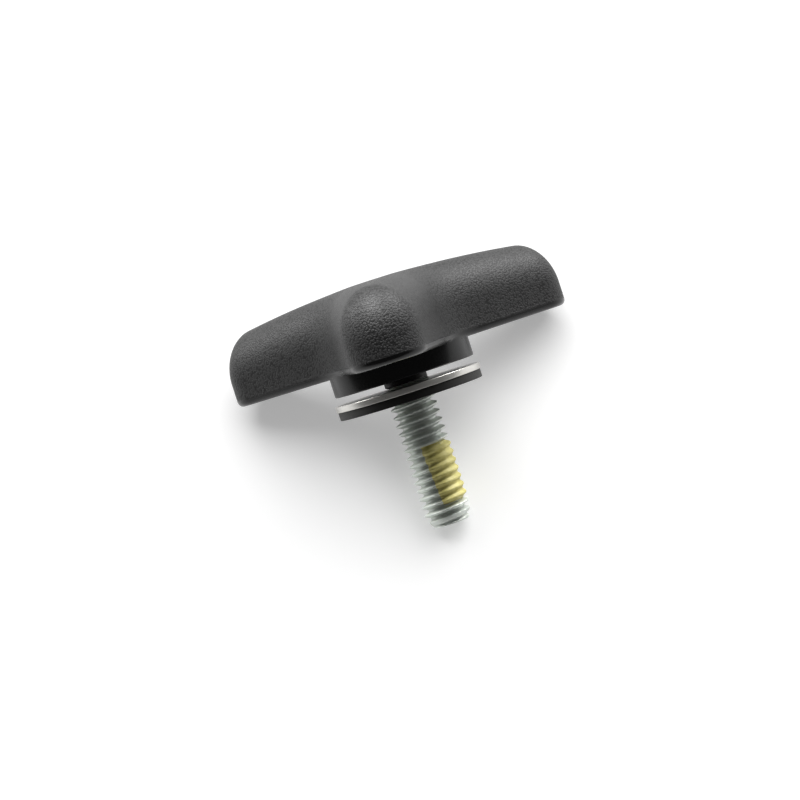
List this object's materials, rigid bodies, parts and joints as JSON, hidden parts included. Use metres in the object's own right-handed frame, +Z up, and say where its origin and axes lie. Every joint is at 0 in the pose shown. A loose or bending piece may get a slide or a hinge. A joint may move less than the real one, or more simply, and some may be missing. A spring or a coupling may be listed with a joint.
{
  "type": "three-lobed wing knob",
  "caption": "Lobed plastic clamping knob with a moulded-in threaded stud, a steel and rubber sealing washer and a nylon locking patch, lying as it comes to rest.",
  "frame": {"origin": "on the stud's axis, at the sealing face (the underside of the rubber)", "axes": "+Z up off the surface that the knob lies on, +X across the two lobes that touch it, and the stud points down and towards -Y, its slope 29.6 degrees to that surface"},
  "size_m": [0.0592, 0.0444, 0.0489],
  "materials": {
    "moulded_plastic": "fine leather grain",
    "zinc_plate": "bright zinc plate",
    "washer_steel": "bright zinc plate",
    "seal_rubber": "matte",
    "locking_nylon": "fused powder"
  },
  "bodies": {
    "root": {"knob_body": "moulded_plastic", "threaded_stud": "zinc_plate", "steel_washer": "washer_steel", "rubber_seal": "seal_rubber", "locking_patch": "locking_nylon"}
  },
  "joints": []
}
